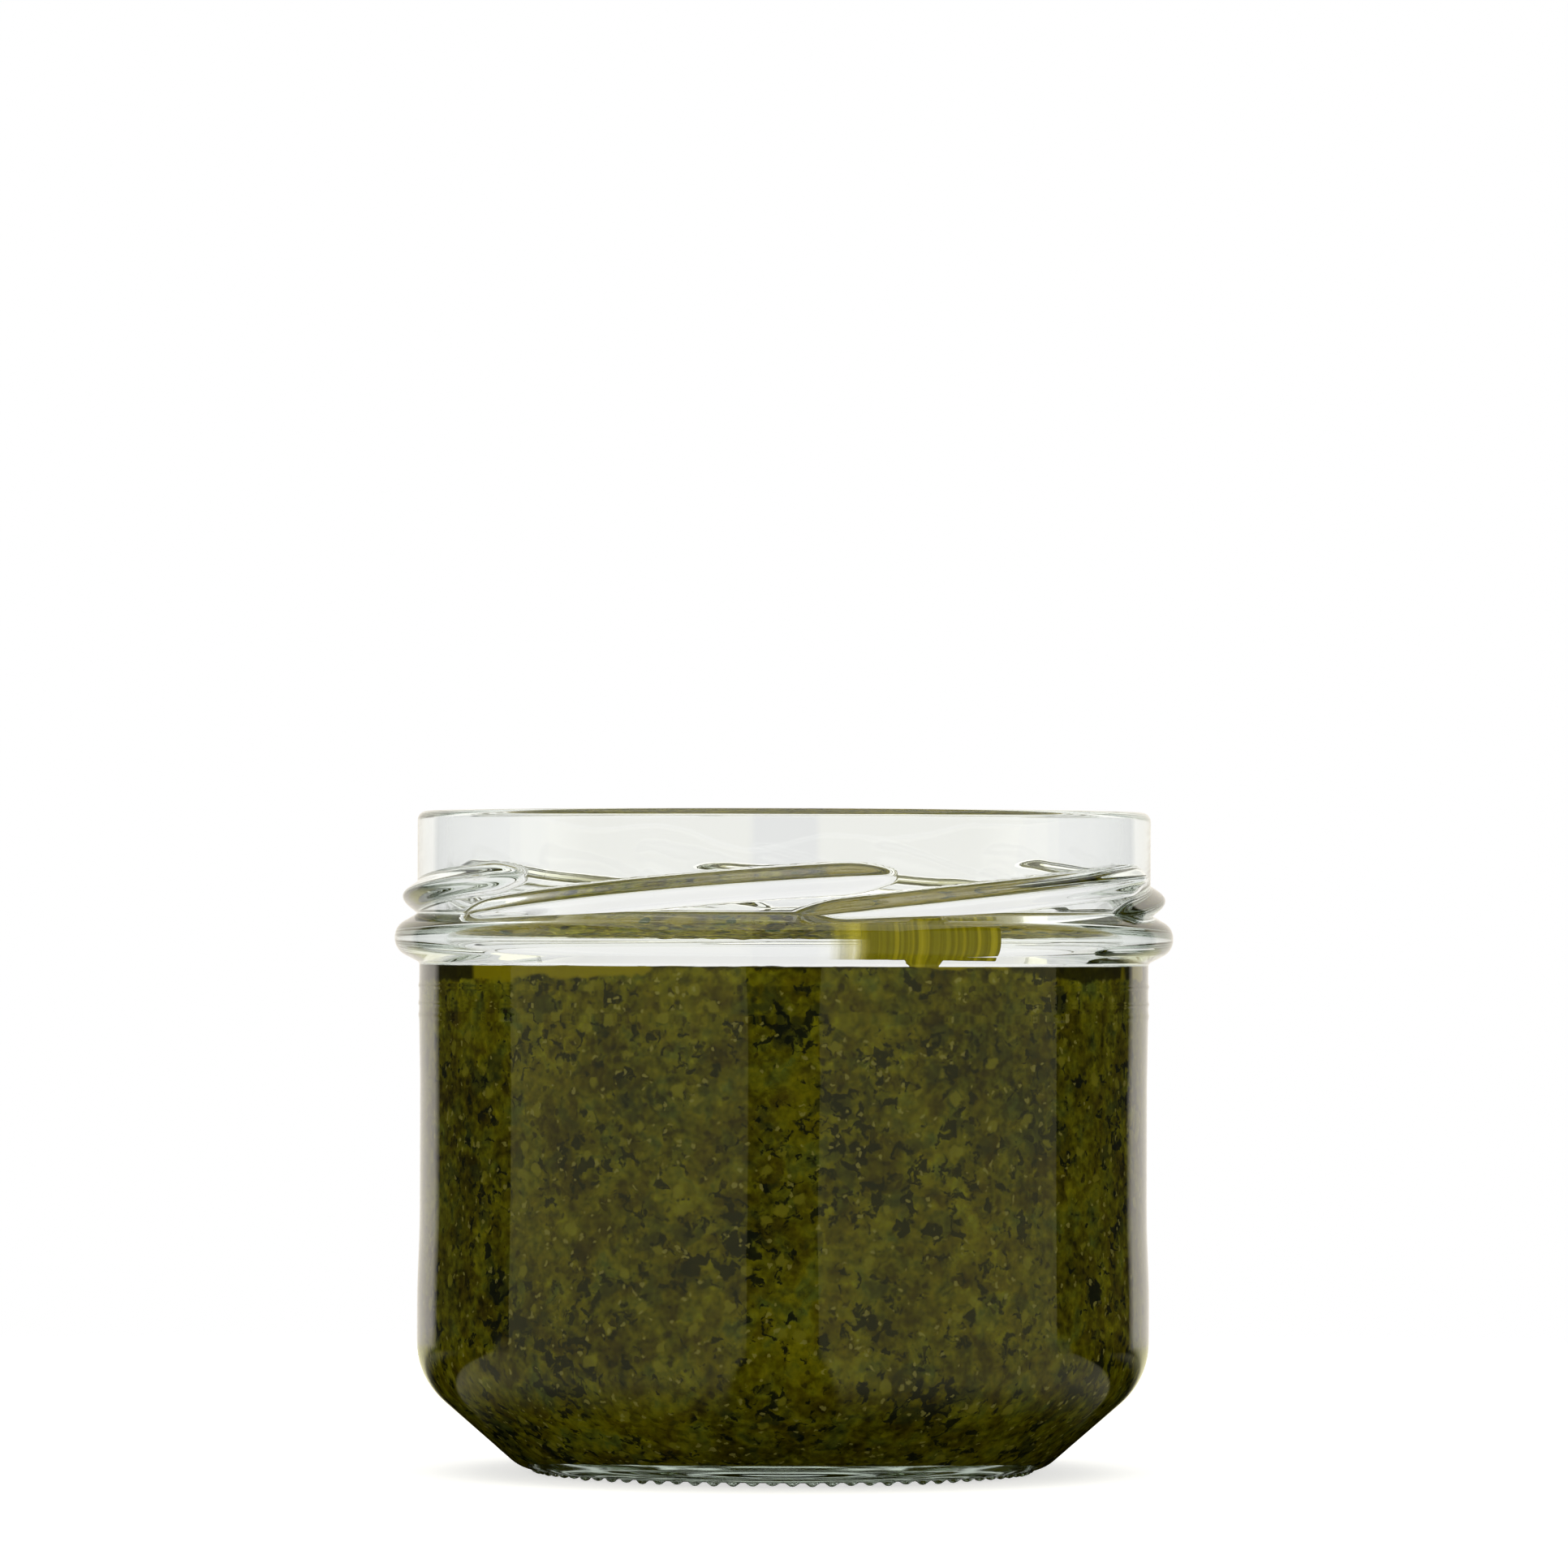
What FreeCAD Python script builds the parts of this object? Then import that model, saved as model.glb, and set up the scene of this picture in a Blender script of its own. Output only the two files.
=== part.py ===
# Wide-mouth clear-glass preserving jar with six twist-off lugs, filled with green basil pesto.
# Units are millimetres. +Z is up, the origin is at the centre of the foot, on the surface it stands on.
import FreeCAD, Part
import math
import os

Vector = FreeCAD.Vector
UP = Vector(0, 0, 1)

# Driving dimensions: whole jar
JAR_HEIGHT = 71.7            # foot to sealing rim
BORE_RADIUS = 36.9           # inside wall, straight from the heel to the rim
SIDE_WALL = 2.86             # glass at the widest part of the side, just above the heel
WAIST_DEPTH = 0.26           # how far the middle of the side draws in from there
SHOULDER_DEPTH = 0.14        # how far the side under the bead draws in from there
FINISH_WALL = 2.95           # glass at the neck that the lugs stand on

# Driving dimensions: foot and heel
HEEL_WIDTH = 11.4            # how far the sloping heel reaches in from the side
HEEL_HEIGHT = 10.3           # where the sloping heel would meet the side
HEEL_ROUND = 8.6
HEEL_THICKNESS = 2.8         # glass at the sloping heel
RING_WIDTH = 4.95            # foot ring, from its outer corner to its inner one
RING_OUTER_ROUND = 4.0
RING_INNER_ROUND = 1.5
PUSH_UP = 2.2                # rise of the underside at the axis, above the foot ring
PUSH_UP_SLOPE = 9.6          # width of the sloping part of the push-up
PUSH_UP_ROUND = 30.0
FLOOR_THICKNESS = 3.4        # glass between the foot ring and the inside floor
FLOOR_RISE = 1.6             # rise of the inside floor at the axis
FLOOR_ROUND = 3.5            # inside corner between floor and heel
BORE_HEEL_ROUND = 6.0        # inside corner between heel and side

# Driving dimensions: knurls of the foot
KNURL_INSET = 1.55           # circle of the knurls, in from the outer corner of the ring
KNURL_PITCH = 2.12
KNURL_RADIUS = 0.7
KNURL_HEIGHT = 0.45

# Driving dimensions: side
BULGE_TOP = 20.0             # height where the side starts to draw in to the waist
WAIST_BOTTOM = 27.0
WAIST_TOP = 29.7             # upper end of the waist, measured down from the rim
SIDE_ROUND = 100.0
SHOULDER_LINE = 22.1         # mould line round the side, measured down from the rim
SHOULDER_LINE_HEIGHT = 0.1
SHOULDER_LINE_HALF_WIDTH = 0.5
SHOULDER_LINE_ROUND = 1.0

# Driving dimensions: bead and rim
BEAD_HEIGHT = 2.45           # how far the bead stands out from the neck
BEAD_TOP = 11.1              # upper edge of the bead, measured down from the rim
BEAD_WIDTH = 5.3             # height of the bead where it leaves the wall
BEAD_SLOPE = 1.4             # how much of that height each sloping flank takes
BEAD_ROOT_ROUND = 0.5
BEAD_FLAT = 0.1              # short straight between the bead's two roundings
RIM_OUTER_ROUND = 1.0
RIM_INNER_ROUND = 0.8

# Driving dimensions: lugs of the twist-off finish
LUG_COUNT = 6
LUG_HEIGHT = 1.6             # how far the crests stand out from the neck
LUG_SWEEP = 75.5             # degrees round the neck that one lug covers
LUG_START = 1.0              # angle of the low end of the first lug, from the front
LUG_LOW = 11.6               # centre of the low end, measured down from the rim
LUG_HIGH = 7.0               # centre of the high end, measured down from the rim
LUG_RISE_POWER = 1.35        # how fast the rise eases off towards the high end
LUG_LOWER_FLANK = 1.85       # reach of the lug below its crest
LUG_UPPER_FLANK = 1.5        # reach of the lug above its crest
LUG_END_SWEEP = 8.0          # degrees in which each end fades into the neck
LUG_END_SINK = 0.12          # how far each end's crest dips under the neck's surface
LUG_END_SIZE = 0.4           # flank reach at the very end, as a share of the full reach
LUG_SHOULDER = 0.54          # where a flank is at half height, as a share of its reach
LUG_ROOT_DEPTH = 0.8         # how deep the lug's root sits in the neck wall
LUG_STEPS = 16

# Driving dimensions: pesto
FILL_LEVEL = 16.2            # mean level of the pesto, measured down from the rim
FILL_CLEARANCE = 0.05        # between the pesto and the glass
SURFACE_WAVE = 0.55          # height of the swells left by the filling nozzle
SURFACE_WAVE_LENGTH = 42.0   # from crest to crest of those swells
SURFACE_SWIRL = 0.33         # height of the low two-armed swirl
SURFACE_DOME = 0.5           # how much the middle stands above the mean level
SURFACE_MARGIN = 3.0         # how far the uneven top reaches past the wall before it is cut
SURFACE_GRID = 15            # knots across the uneven top, each way
HEADROOM = 6.0               # height of the turned block above the mean level, before the cut

# Worked out from the dimensions above
BODY_RADIUS = BORE_RADIUS + SIDE_WALL
WAIST_RADIUS = BODY_RADIUS - WAIST_DEPTH
SHOULDER_RADIUS = BODY_RADIUS - SHOULDER_DEPTH
FINISH_RADIUS = BORE_RADIUS + FINISH_WALL
BEAD_RADIUS = FINISH_RADIUS + BEAD_HEIGHT
LUG_RADIUS = FINISH_RADIUS + LUG_HEIGHT
RING_OUTER_RADIUS = BODY_RADIUS - HEEL_WIDTH
RING_INNER_RADIUS = RING_OUTER_RADIUS - RING_WIDTH
PUSH_UP_FLAT_RADIUS = RING_INNER_RADIUS - PUSH_UP_SLOPE
KNURL_CIRCLE = RING_OUTER_RADIUS - KNURL_INSET
KNURL_COUNT = round(2 * math.pi * KNURL_CIRCLE / KNURL_PITCH)
RING_LEVEL = KNURL_HEIGHT
FLOOR_LEVEL = RING_LEVEL + FLOOR_THICKNESS
HEEL_SLOPE = (HEEL_HEIGHT - RING_LEVEL) / HEEL_WIDTH
SHOULDER_LINE_LEVEL = JAR_HEIGHT - SHOULDER_LINE
BEAD_TOP_LEVEL = JAR_HEIGHT - BEAD_TOP
BEAD_BOTTOM_LEVEL = BEAD_TOP_LEVEL - BEAD_WIDTH
FILL_HEIGHT = JAR_HEIGHT - FILL_LEVEL


def corner_arc(before, corner, after, radius):
    """End points and middle point of the arc that rounds one corner of an outline."""
    back = (before - corner).normalize()
    ahead = (after - corner).normalize()
    half_angle = back.getAngle(ahead) / 2
    reach = radius / math.tan(half_angle)
    centre = corner + (back + ahead).normalize() * (radius / math.sin(half_angle))
    middle = centre + (corner - centre).normalize() * radius
    return corner + back * reach, middle, corner + ahead * reach


def rounded_face(corners):
    """Face in the XZ plane from (radius, height, rounding) corners, closed in order."""
    points = [Vector(radius, 0, height) for radius, height, rounding in corners]
    edges = []
    arcs = []
    for index, (radius, height, rounding) in enumerate(corners):
        before = points[index - 1]
        after = points[(index + 1) % len(points)]
        if rounding:
            arcs.append(corner_arc(before, points[index], after, rounding))
        else:
            arcs.append((points[index], None, points[index]))
    for index, (start, middle, end) in enumerate(arcs):
        if middle is not None:
            edges.append(Part.Arc(start, middle, end).toShape())
        next_start = arcs[(index + 1) % len(arcs)][0]
        edges.append(Part.LineSegment(end, next_start).toShape())
    return Part.Face(Part.Wire(edges))


def inside_outline(clearance, top, top_rounding):
    """Corners of the jar's inside from the top edge down to the axis, drawn in by a clearance."""
    slope_length = math.hypot(1, HEEL_SLOPE)
    wall = BORE_RADIUS - clearance
    floor = FLOOR_LEVEL + clearance
    heel_offset = (HEEL_THICKNESS + clearance) * slope_length
    heel_at_wall = RING_LEVEL + (wall - RING_OUTER_RADIUS) * HEEL_SLOPE + heel_offset
    floor_edge = RING_OUTER_RADIUS + (floor - RING_LEVEL - heel_offset) / HEEL_SLOPE
    return [
        (wall, top, top_rounding),
        (wall, heel_at_wall, BORE_HEEL_ROUND - clearance),
        (floor_edge, floor, FLOOR_ROUND - clearance),
        (RING_INNER_RADIUS, floor, PUSH_UP_ROUND),
        (PUSH_UP_FLAT_RADIUS, floor + FLOOR_RISE, PUSH_UP_ROUND),
        (0, floor + FLOOR_RISE, 0),
    ]


def revolved(corners):
    return rounded_face(corners).revolve(Vector(0, 0, 0), UP, 360)


def glass_body():
    """Foot, heel, side, bead and neck as one turned shell."""
    line_low = SHOULDER_LINE_LEVEL - SHOULDER_LINE_HALF_WIDTH
    line_high = SHOULDER_LINE_LEVEL + SHOULDER_LINE_HALF_WIDTH
    bead_run = max(BEAD_HEIGHT, BEAD_RADIUS - SHOULDER_RADIUS)
    bead_turn = math.pi / 2 - math.atan(BEAD_SLOPE / bead_run)
    bead_face = BEAD_WIDTH - 2 * BEAD_SLOPE - BEAD_FLAT
    bead_round = bead_face / 2 / math.tan(bead_turn / 2)
    outside = [
        (0, RING_LEVEL + PUSH_UP, 0),
        (PUSH_UP_FLAT_RADIUS, RING_LEVEL + PUSH_UP, PUSH_UP_ROUND),
        (RING_INNER_RADIUS, RING_LEVEL, RING_INNER_ROUND),
        (RING_OUTER_RADIUS, RING_LEVEL, RING_OUTER_ROUND),
        (BODY_RADIUS, HEEL_HEIGHT, HEEL_ROUND),
        (BODY_RADIUS, BULGE_TOP, SIDE_ROUND),
        (WAIST_RADIUS, WAIST_BOTTOM, SIDE_ROUND),
        (WAIST_RADIUS, JAR_HEIGHT - WAIST_TOP, SIDE_ROUND),
        (SHOULDER_RADIUS, line_low, SHOULDER_LINE_ROUND),
        (SHOULDER_RADIUS + SHOULDER_LINE_HEIGHT, SHOULDER_LINE_LEVEL, SHOULDER_LINE_ROUND),
        (SHOULDER_RADIUS, line_high, SHOULDER_LINE_ROUND),
        (SHOULDER_RADIUS, BEAD_BOTTOM_LEVEL, BEAD_ROOT_ROUND),
        (BEAD_RADIUS, BEAD_BOTTOM_LEVEL + BEAD_SLOPE, bead_round),
        (BEAD_RADIUS, BEAD_TOP_LEVEL - BEAD_SLOPE, bead_round),
        (FINISH_RADIUS, BEAD_TOP_LEVEL, BEAD_ROOT_ROUND),
        (FINISH_RADIUS, JAR_HEIGHT, RIM_OUTER_ROUND),
    ]
    return revolved(outside + inside_outline(0, JAR_HEIGHT, RIM_INNER_ROUND))


def lug_section(fraction):
    """Closed section of a lug, at a fraction of its length from the low end."""
    angle = LUG_START + LUG_SWEEP * fraction
    rise = 1 - (1 - fraction) ** LUG_RISE_POWER
    crest_level = JAR_HEIGHT - LUG_LOW + (LUG_LOW - LUG_HIGH) * rise
    from_end = min(fraction, 1 - fraction) * LUG_SWEEP
    fade = math.sin(min(1, from_end / LUG_END_SWEEP) * math.pi / 2)
    root = FINISH_RADIUS - LUG_END_SINK
    crest = root + (LUG_RADIUS - root) * fade
    back = FINISH_RADIUS - LUG_ROOT_DEPTH
    across = Vector(math.sin(math.radians(angle)), -math.cos(math.radians(angle)), 0)

    def at(radius, offset):
        return across * radius + UP * (crest_level + offset)

    size = LUG_END_SIZE + (1 - LUG_END_SIZE) * fade
    low = -LUG_LOWER_FLANK * size
    high = LUG_UPPER_FLANK * size
    flank = Part.BSplineCurve()
    flank.interpolate([
        at(root, low),
        at((root + crest) / 2, low * LUG_SHOULDER),
        at(crest, 0),
        at((root + crest) / 2, high * LUG_SHOULDER),
        at(root, high),
    ])
    lower = Part.LineSegment(at(back, low), at(root, low)).toShape()
    upper = Part.LineSegment(at(root, high), at(back, high)).toShape()
    behind = Part.LineSegment(at(back, high), at(back, low)).toShape()
    return Part.Wire([lower, flank.toShape(), upper, behind])


def lugs():
    sections = [lug_section(step / LUG_STEPS) for step in range(LUG_STEPS + 1)]
    first = Part.makeLoft(sections, True, False)
    turned = []
    for index in range(LUG_COUNT):
        lug = first.copy()
        lug.rotate(Vector(0, 0, 0), UP, 360 * index / LUG_COUNT)
        turned.append(lug)
    return turned


def knurls():
    """Small domes in a ring, which the jar stands on."""
    domes = []
    for index in range(KNURL_COUNT):
        angle = 2 * math.pi * index / KNURL_COUNT
        out = Vector(math.cos(angle), math.sin(angle), 0)
        domes.append(Part.makeSphere(KNURL_RADIUS, out * KNURL_CIRCLE + UP * KNURL_RADIUS))
    return domes


def surface_height(x, y):
    """Level of the pesto's uneven top at a point: a low dome with swells and a swirl."""
    distance = math.hypot(x, y) / BORE_RADIUS
    turn = 2 * math.pi / SURFACE_WAVE_LENGTH
    dome = SURFACE_DOME * (1 - 2 * distance * distance)
    swell = SURFACE_WAVE * math.cos(turn * x + 0.8) * math.cos(turn * y - 0.5)
    swirl = SURFACE_SWIRL * distance * math.cos(2 * math.atan2(y, x) + 5 * distance)
    return FILL_HEIGHT + dome + swell + swirl


def pesto():
    """Everything inside the glass up to the uneven top."""
    top = FILL_HEIGHT + HEADROOM
    block = revolved([(0, top, 0)] + inside_outline(FILL_CLEARANCE, top, 0))
    half = BORE_RADIUS + SURFACE_MARGIN
    grid = []
    for column in range(SURFACE_GRID):
        x = half * (2 * column / (SURFACE_GRID - 1) - 1)
        row = []
        for line in range(SURFACE_GRID):
            y = half * (2 * line / (SURFACE_GRID - 1) - 1)
            row.append(Vector(x, y, surface_height(x, y)))
        grid.append(row)
    surface = Part.BSplineSurface()
    surface.interpolate(grid)
    air = surface.toShape().extrude(UP * 2 * HEADROOM)
    return block.cut(air)


def save(shape, name):
    solids = shape.Solids
    if len(solids) != 1 or not solids[0].isValid():
        raise ValueError(name + " isn't one valid solid")
    solids[0].exportStep("parts/" + name + ".step")


os.makedirs("parts", exist_ok=True)
save(glass_body().fuse(lugs() + knurls()).removeSplitter(), "jar_glass")
save(pesto(), "pesto")
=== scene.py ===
"""Open wide-mouth glass jar of green pesto: the looks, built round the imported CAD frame. Metres, +Z up."""
import math

import bpy
import numpy as np
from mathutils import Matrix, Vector


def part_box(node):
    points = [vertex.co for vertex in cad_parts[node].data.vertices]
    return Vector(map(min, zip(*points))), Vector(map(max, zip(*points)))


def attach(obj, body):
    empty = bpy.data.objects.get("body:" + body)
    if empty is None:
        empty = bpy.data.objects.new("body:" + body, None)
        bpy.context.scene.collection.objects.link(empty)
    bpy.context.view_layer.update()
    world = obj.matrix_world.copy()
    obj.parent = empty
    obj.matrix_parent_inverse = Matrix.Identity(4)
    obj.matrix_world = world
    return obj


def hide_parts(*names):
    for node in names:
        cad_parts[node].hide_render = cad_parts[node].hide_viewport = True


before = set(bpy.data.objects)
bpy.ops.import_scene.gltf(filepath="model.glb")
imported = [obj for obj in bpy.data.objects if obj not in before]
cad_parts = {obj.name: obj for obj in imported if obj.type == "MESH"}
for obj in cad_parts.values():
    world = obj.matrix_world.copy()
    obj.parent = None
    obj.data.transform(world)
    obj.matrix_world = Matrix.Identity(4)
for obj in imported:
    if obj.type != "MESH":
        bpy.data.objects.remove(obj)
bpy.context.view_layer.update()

MM = 0.001
FULL_TURN = 2 * math.pi
SAME_LEVEL = 1e-6             # heights closer than this are one level
WHITE = (1.0, 1.0, 1.0, 1.0)

# ---------------------------------------------------------------- sizes, from the frame and the jar's values
JAR_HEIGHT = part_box("jar_glass")[1][2]
FILL_HEIGHT = JAR_HEIGHT - 16.2 * MM
BORE_RADIUS = 36.9 * MM
BODY_RADIUS = BORE_RADIUS + 2.86 * MM
WAIST_RADIUS = BODY_RADIUS - 0.26 * MM
SHOULDER_RADIUS = BODY_RADIUS - 0.14 * MM
FINISH_RADIUS = BORE_RADIUS + 2.95 * MM

# Foot, heel and glass floor
RING_LEVEL = 0.45 * MM
RING_OUTER_RADIUS = BODY_RADIUS - 11.4 * MM
RING_INNER_RADIUS = RING_OUTER_RADIUS - 4.95 * MM
RING_OUTER_ROUND = 4.0 * MM
RING_INNER_ROUND = 1.5 * MM
HEEL_HEIGHT = 10.3 * MM
HEEL_ROUND = 8.6 * MM
HEEL_THICKNESS = 2.8 * MM
INSIDE_WALL_ROUND = 6.0 * MM
INSIDE_FLOOR_ROUND = 3.5 * MM
FLOOR_LEVEL = RING_LEVEL + 3.4 * MM
FLOOR_RISE = 1.6 * MM
PUSH_UP = 2.2 * MM
PUSH_UP_FLAT_RADIUS = RING_INNER_RADIUS - 9.6 * MM
PUSH_UP_ROUND = 30 * MM

# Wall: drawn in a little between two heights, with one low mould line near the top and two faint ones above
WAIST_START = 20 * MM
WAIST_LOW = 27 * MM
WAIST_HIGH = JAR_HEIGHT - 29.7 * MM
WAIST_ROUND = 100 * MM
MOULD_LINE = JAR_HEIGHT - 22.1 * MM
MOULD_LINE_HALF = 0.5 * MM
MOULD_LINE_RELIEF = 0.1 * MM
MOULD_LINE_ROUND = 1 * MM
FAINT_LINES = (JAR_HEIGHT - 18.9 * MM, JAR_HEIGHT - 20.8 * MM)
FAINT_LINE_HALF = 0.2 * MM
FAINT_LINE_RELIEF = 0.1 * MM

# Bead and rim
BEAD_RADIUS = FINISH_RADIUS + 2.45 * MM
BEAD_TOP = JAR_HEIGHT - 11.1 * MM
BEAD_WIDTH = 5.3 * MM
BEAD_SLOPE = 1.4 * MM
BEAD_ROUND = 1.98 * MM
BEAD_FILLET = 0.5 * MM
RIM_OUTER_ROUND = 1.0 * MM
RIM_INNER_ROUND = 0.8 * MM

# Lugs
LUG_COUNT = 6
LUG_HEIGHT = 1.6 * MM
LUG_SWEEP = math.radians(75.5)
LUG_START = math.radians(1.0)
LUG_LOW = JAR_HEIGHT - 11.6 * MM
LUG_HIGH = JAR_HEIGHT - 7.0 * MM
LUG_RISE_POWER = 1.35
LUG_LOWER_FLANK = 1.85 * MM
LUG_UPPER_FLANK = 1.5 * MM
LUG_FULLNESS = 0.9            # under 1 makes the lugs' section fuller
LUG_END_SWEEP = math.radians(8)
LUG_END_SIZE = 0.4

# Knurls of the foot
KNURL_CIRCLE = RING_OUTER_RADIUS - 1.55 * MM
KNURL_COUNT = 80
KNURL_RADIUS = 0.7 * MM
SMALLEST_KNURL = 0.72         # as a share of the largest

# Unevenness of the glass; the shift keeps the jar inside the CAD's box
GLASS_WAVELENGTH = 16 * MM
OUTSIDE_WAVE = 0.012 * MM
INSIDE_WAVE = 0.03 * MM
WAVE_SHIFT = -0.02 * MM
WAVE_FREE_HEIGHT = 3 * MM     # no waves below this height or within this radius
WAVE_FREE_RADIUS = 20 * MM

# Paste: top surface as packed, and what is added to it here
TOP_DOME = 0.5 * MM
TOP_SWELL = 0.55 * MM
TOP_SWELL_LENGTH = 42 * MM
TOP_SWIRL = 0.33 * MM
TOP_SWIRL_TWIST = 5
CHUNK_RELIEF = 0.42 * MM
EDGE_RELIEF = 0.03 * MM
EDGE_DROP = 0.15 * MM
EDGE_WIDTH = 5 * MM
WALL_OVERLAP = 0.06 * MM      # how far the contents reach into the glass, so that no air gap shows
FLOOR_GAP = 0.05 * MM         # air film between the paste and the glass floor, which keeps the base bright

# Crumbs
CRUMB_COUNT = 420
CRUMB_CLEARANCE = 2.2 * MM    # from the wall
CRUMB_LIFT = 0.12             # of its size, above the paste
NUT_SHARE = 0.35
NUT_SIZE = (0.35, 0.8)        # mm
LEAF_SIZE = (0.5, 1.3)        # mm
LEAF_THICKNESS = 0.18         # of its size, as the three below
NUT_THICKNESS = (0.5, 0.8)
CRUMB_WIDTH = (0.5, 0.9)
CRUMB_UNEVENNESS = (0.8, 1.15)
CRUMB_TILT = 0.4              # steepest rise along it

# Oil on the glass above the paste: angles in degrees from the front, to the right
OIL_START = 4
OIL_END = 36
OIL_FOOT = JAR_HEIGHT - 13.9 * MM
OIL_TOP = JAR_HEIGHT - 13.2 * MM
OIL_RAGGED = 0.03             # mm
OIL_THICKNESS = 0.08 * MM     # inside the bore
OIL_COLUMNS = 240
OIL_ROWS = 24
RUN_MIDDLE = 22.9
RUN_HALF_WIDTH = 3.4
RUN_SHOULDER = 1.4
RUN_FOOT = FILL_HEIGHT - 1.0 * MM
RUN_TOP = JAR_HEIGHT - 12.1 * MM

# Fineness of the meshes
COLUMNS = KNURL_COUNT * 8     # facets round the jar: eight to each knurl
ANGLES = np.arange(COLUMNS) * FULL_TURN / COLUMNS
GLASS_ARC_STEP = math.radians(5)
LUG_ROW = 0.16 * MM           # height of a row of faces
SHOULDER_ROW = 0.12 * MM
HEEL_ROW = 0.9 * MM
PASTE_WALL_ROW = 3 * MM
PASTE_RINGS = 96


# ---------------------------------------------------------------- mesh helpers
def rounded_path(corners, arc_step=math.radians(7)):
    """Points of an open outline with rounded corners, given as (radius, height, rounding)."""
    points = []
    for index, (radius, height, rounding) in enumerate(corners):
        corner = np.array([radius, height])
        if not rounding:
            points.append(corner)
            continue
        back = np.array(corners[index - 1][:2]) - corner
        ahead = np.array(corners[index + 1][:2]) - corner
        back /= np.linalg.norm(back)
        ahead /= np.linalg.norm(ahead)
        half = math.acos(float(np.clip(back @ ahead, -1, 1))) / 2
        reach = rounding / math.tan(half)
        middle = back + ahead
        centre = corner + middle / np.linalg.norm(middle) * rounding / math.sin(half)
        start = corner + back * reach - centre
        turn = math.pi - 2 * half
        if back[1] * ahead[0] - back[0] * ahead[1] < 0:
            turn = -turn
        steps = max(2, math.ceil(abs(turn) / arc_step))
        for step in range(steps + 1):
            angle = turn * step / steps
            c, s = math.cos(angle), math.sin(angle)
            points.append(centre + np.array([start[0] * c - start[1] * s, start[0] * s + start[1] * c]))
    return np.array(points)


def spread(points, low, high, step):
    """Adds points along the straight runs of an outline between two heights."""
    out = [points[0]]
    for a, b in zip(points[:-1], points[1:]):
        length = float(np.linalg.norm(b - a))
        inside = min(a[1], b[1]) >= low - SAME_LEVEL and max(a[1], b[1]) <= high + SAME_LEVEL
        pieces = max(1, math.ceil(length / step)) if inside else 1
        for piece in range(1, pieces + 1):
            out.append(a + (b - a) * piece / pieces)
    return np.array(out)


def divide_ring(path, parts=14):
    """Cuts the flat of the foot ring into equal parts, fine enough for the knurls."""
    out = []
    for a, b in zip(path[:-1], path[1:]):
        out.append(a)
        on_ring = abs(a[1] - RING_LEVEL) < SAME_LEVEL and abs(b[1] - RING_LEVEL) < SAME_LEVEL
        for step in range(1, parts) if on_ring else ():
            out.append(a + (b - a) * step / parts)
    out.append(path[-1])
    return np.array(out)


def smooth_step(share):
    """Eases a share of 0 to 1 in and out."""
    return share ** 2 * (3 - 2 * share)


def smooth_noise(angle, height, seed, wavelength, waves=10):
    """Gentle unevenness over a turned surface, about -1 to 1."""
    rng = np.random.default_rng(seed)
    total = np.zeros(np.broadcast(angle, height).shape)
    for wave in range(waves):
        around = rng.integers(1, max(2, int(FULL_TURN * BODY_RADIUS / wavelength)))
        up = rng.normal() * FULL_TURN / wavelength * 0.6
        total += np.cos(around * angle + up * height + rng.uniform(0, FULL_TURN))
    return total / math.sqrt(waves)


def add_mesh(name, verts, faces, materials):
    """A mesh object in the scene."""
    mesh = bpy.data.meshes.new(name)
    mesh.from_pydata(verts, [], faces)
    mesh.validate()
    for material in materials:
        mesh.materials.append(material)
    mesh.update()
    piece = bpy.data.objects.new(name, mesh)
    bpy.context.scene.collection.objects.link(piece)
    return piece


def lathe_object(name, radius, height, materials, face_material):
    """A closed turned mesh from grids of radius and height, rows by columns.

    The first and last row lie on the axis. face_material gives each face's material index from its row.
    """
    x = radius * np.sin(ANGLES)[None, :]
    y = -radius * np.cos(ANGLES)[None, :]
    grid = np.stack([x, y, height], axis=2)[1:-1].reshape(-1, 3)
    first = np.array([[0, 0, height[0].mean()]])
    last = np.array([[0, 0, height[-1].mean()]])
    verts = np.concatenate([grid, first, last])
    inner_rows = len(radius) - 2
    a = np.arange(COLUMNS)
    b = (a + 1) % COLUMNS
    faces = []
    for row in range(inner_rows - 1):
        low = row * COLUMNS
        high = low + COLUMNS
        faces.append(np.stack([low + a, low + b, high + b, high + a], axis=1))
    quads = np.concatenate(faces)
    bottom = np.stack([b, a, np.full(COLUMNS, len(grid))], axis=1)
    top_row = (inner_rows - 1) * COLUMNS
    top = np.stack([top_row + a, top_row + b, np.full(COLUMNS, len(grid) + 1)], axis=1)
    piece = add_mesh(name, verts.tolist(), quads.tolist() + bottom.tolist() + top.tolist(), materials)
    row_of = np.concatenate([
        np.repeat(np.arange(inner_rows - 1), COLUMNS),
        np.zeros(COLUMNS, int),
        np.full(COLUMNS, inner_rows - 2),
    ])
    polygons = piece.data.polygons
    polygons.foreach_set("use_smooth", [True] * len(polygons))
    polygons.foreach_set("material_index", face_material(row_of).tolist())
    piece.data.update()
    return piece


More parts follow.
